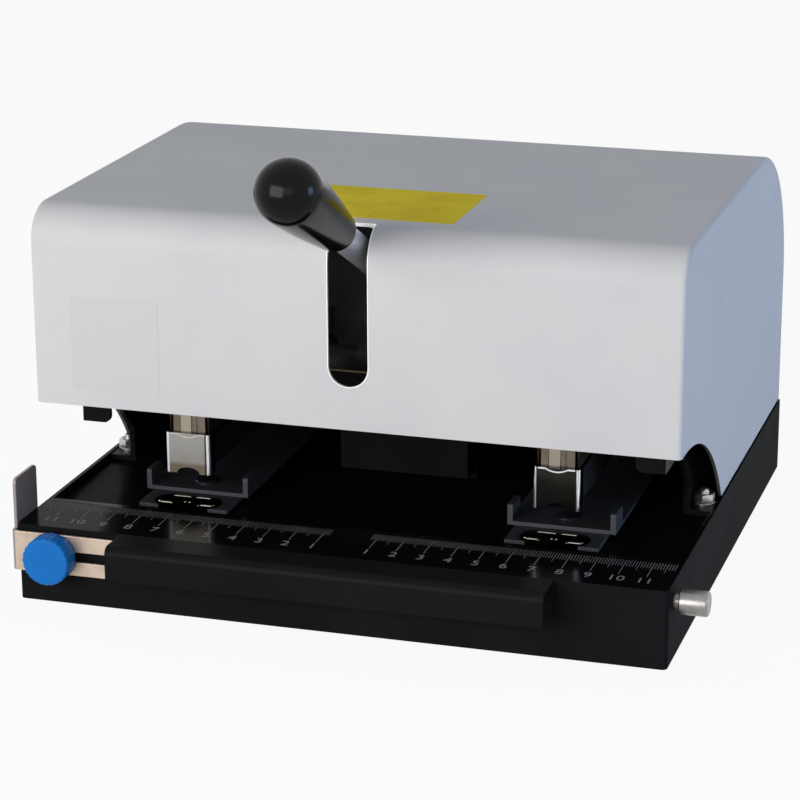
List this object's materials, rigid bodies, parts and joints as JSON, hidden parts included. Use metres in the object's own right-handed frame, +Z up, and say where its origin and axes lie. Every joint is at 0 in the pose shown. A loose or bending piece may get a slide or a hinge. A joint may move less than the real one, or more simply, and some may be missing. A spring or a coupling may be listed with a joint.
{
  "type": "double head stapler",
  "caption": "Desktop stapler with a hooded body and a front lever that drives spaced stapling heads together over a graduated ledge with a sliding side guide.",
  "frame": {"origin": "centre of the whole part's bounding box, on the surface the feet stand on", "axes": "+X to the operator's right along the ledge, +Y from the operator to the back, +Z up"},
  "size_m": [0.2536, 0.2786, 0.1827],
  "materials": {
    "base_black": "gloss",
    "frame_black": "satin",
    "inner_grey": "satin",
    "hood_silver": "satin",
    "guide_steel": "brushed",
    "zinc_steel": "plated",
    "dark_steel": "satin",
    "chrome": "polished",
    "nickel": "satin",
    "spring_steel": "satin",
    "knob_blue": "gloss",
    "grip_black": "gloss",
    "foot_rubber": "matte"
  },
  "bodies": {
    "base": {"base_pan": "base_black", "bottom_plate": "base_black", "front_rail_cover": "base_black", "side_frame_left": "frame_black", "side_frame_right": "frame_black", "lever_bracket": "inner_grey", "anvil_plate_left": "inner_grey", "anvil_plate_right": "inner_grey", "anvil_channel_left": "inner_grey", "anvil_channel_right": "inner_grey", "hood_wrap": "hood_silver", "hood_panel_left": "hood_silver", "hood_panel_right": "hood_silver", "clamp_stud": "zinc_steel", "steady_pin": "zinc_steel", "cover_rivet": "zinc_steel", "lever_shaft": "zinc_steel", "frame_bolt_left_front": "zinc_steel", "frame_bolt_left_rear": "zinc_steel", "frame_bolt_right_front": "zinc_steel", "frame_bolt_right_rear": "zinc_steel", "bracket_bolt_left_front": "zinc_steel", "bracket_bolt_left_rear": "zinc_steel", "bracket_bolt_right_front": "zinc_steel", "bracket_bolt_right_rear": "zinc_steel", "hood_screw_left_1": "zinc_steel", "hood_screw_left_2": "zinc_steel", "hood_screw_right_1": "zinc_steel", "hood_screw_right_2": "zinc_steel", "anvil_screw_left": "zinc_steel", "anvil_screw_right": "zinc_steel", "head_pin_left": "zinc_steel", "head_pin_right": "zinc_steel", "clinch_plate_left": "dark_steel", "clinch_plate_right": "dark_steel", "return_spring_left": "spring_steel", "return_spring_right": "spring_steel", "foot_left_front": "foot_rubber", "foot_left_rear": "foot_rubber", "foot_right_front": "foot_rubber", "foot_right_rear": "foot_rubber"},
    "lever": {"lever_hub": "dark_steel", "lever_rod": "chrome", "lever_grip": "grip_black", "yoke_arm_left": "dark_steel", "yoke_arm_right": "dark_steel", "press_bar": "dark_steel"},
    "side_guide_body": {"side_guide": "guide_steel"},
    "clamp_knob_body": {"clamp_knob": "knob_blue"},
    "side_pin_body": {"side_pin": "zinc_steel"},
    "driver_left": {"driver_arm_left": "nickel", "driver_blade_left": "nickel"},
    "magazine_body_left": {"magazine_left": "dark_steel"},
    "tray_left": {"staple_tray_left": "chrome"},
    "pusher_left": {"follower_left": "dark_steel"},
    "driver_right": {"driver_arm_right": "nickel", "driver_blade_right": "nickel"},
    "magazine_body_right": {"magazine_right": "dark_steel"},
    "tray_right": {"staple_tray_right": "chrome"},
    "pusher_right": {"follower_right": "dark_steel"}
  },
  "joints": [
    {"name": "lever_pivot", "type": "hinge", "parent": "base", "child": "lever", "pos_m": [-0.00535, 0.04961, 0.0888], "axis": [1, 0, 0], "range_deg": [0, 20.7], "stiffness_Nm_per_rad": 4, "springref_deg": -14.32},
    {"name": "driver_pivot_left", "type": "hinge", "parent": "base", "child": "driver_left", "pos_m": [-0.07535, 0.09671, 0.0465], "axis": [1, 0, 0], "range_deg": [0, 8.3]},
    {"name": "magazine_pivot_left", "type": "hinge", "parent": "base", "child": "magazine_body_left", "pos_m": [-0.07535, 0.09671, 0.0465], "axis": [1, 0, 0], "range_deg": [0, 4], "deforming": ["return_spring_left"]},
    {"name": "tray_slide_left", "type": "slide", "parent": "magazine_body_left", "child": "tray_left", "axis": [0, 1, 0], "range_m": [-0.06, 0]},
    {"name": "pusher_slide_left", "type": "slide", "parent": "tray_left", "child": "pusher_left", "axis": [0, 1, 0], "range_m": [0, 0.08], "stiffness_N_per_m": 12, "springref_m": -0.05},
    {"name": "driver_pivot_right", "type": "hinge", "parent": "base", "child": "driver_right", "pos_m": [0.06465, 0.09671, 0.0465], "axis": [1, 0, 0], "range_deg": [0, 8.3]},
    {"name": "magazine_pivot_right", "type": "hinge", "parent": "base", "child": "magazine_body_right", "pos_m": [0.06465, 0.09671, 0.0465], "axis": [1, 0, 0], "range_deg": [0, 4], "deforming": ["return_spring_right"]},
    {"name": "tray_slide_right", "type": "slide", "parent": "magazine_body_right", "child": "tray_right", "axis": [0, 1, 0], "range_m": [-0.06, 0]},
    {"name": "pusher_slide_right", "type": "slide", "parent": "tray_right", "child": "pusher_right", "axis": [0, 1, 0], "range_m": [0, 0.08], "stiffness_N_per_m": 12, "springref_m": -0.05},
    {"name": "side_guide_slide", "type": "slide", "parent": "base", "child": "side_guide_body", "axis": [-1, 0, 0], "range_m": [0, 0.08]},
    {"name": "clamp_knob_turn", "type": "hinge", "parent": "base", "child": "clamp_knob_body", "pos_m": [-0.11035, -0.09529, 0.0216], "axis": [0, 1, 0], "continuous": true},
    {"name": "side_pin_turn", "type": "hinge", "parent": "base", "child": "side_pin_body", "pos_m": [0.11965, -0.07729, 0.024], "axis": [1, 0, 0], "continuous": true}
  ],
  "couplings": [
    {"joint": "driver_pivot_left", "follows": "lever_pivot", "ratio": 0.395},
    {"joint": "magazine_pivot_left", "follows": "lever_pivot", "ratio": 0.191},
    {"joint": "driver_pivot_right", "follows": "lever_pivot", "ratio": 0.395},
    {"joint": "magazine_pivot_right", "follows": "lever_pivot", "ratio": 0.191}
  ]
}
